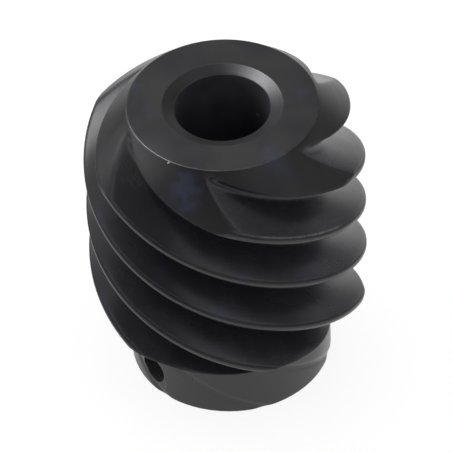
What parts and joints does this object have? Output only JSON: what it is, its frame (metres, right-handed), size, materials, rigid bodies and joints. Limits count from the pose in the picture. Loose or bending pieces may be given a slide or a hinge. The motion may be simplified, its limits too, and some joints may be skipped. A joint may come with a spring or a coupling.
{
  "type": "worm screw",
  "caption": "Left-handed multi-start worm screw with a through bore, cone-cut thread ends and a plain hub with a radial pin hole.",
  "frame": {"origin": "centre of the bounding box's bottom face, on the bore axis in the hub's end face", "axes": "+Z along the bore axis, from the hub end to the thread end; -Y towards the radial pin hole"},
  "size_m": [0.044, 0.044, 0.052],
  "materials": {
    "blued_steel": "black oxide over fine turning and milling marks, satin, worn lighter on the edges"
  },
  "bodies": {
    "root": {"worm_screw": "blued_steel"}
  },
  "joints": []
}
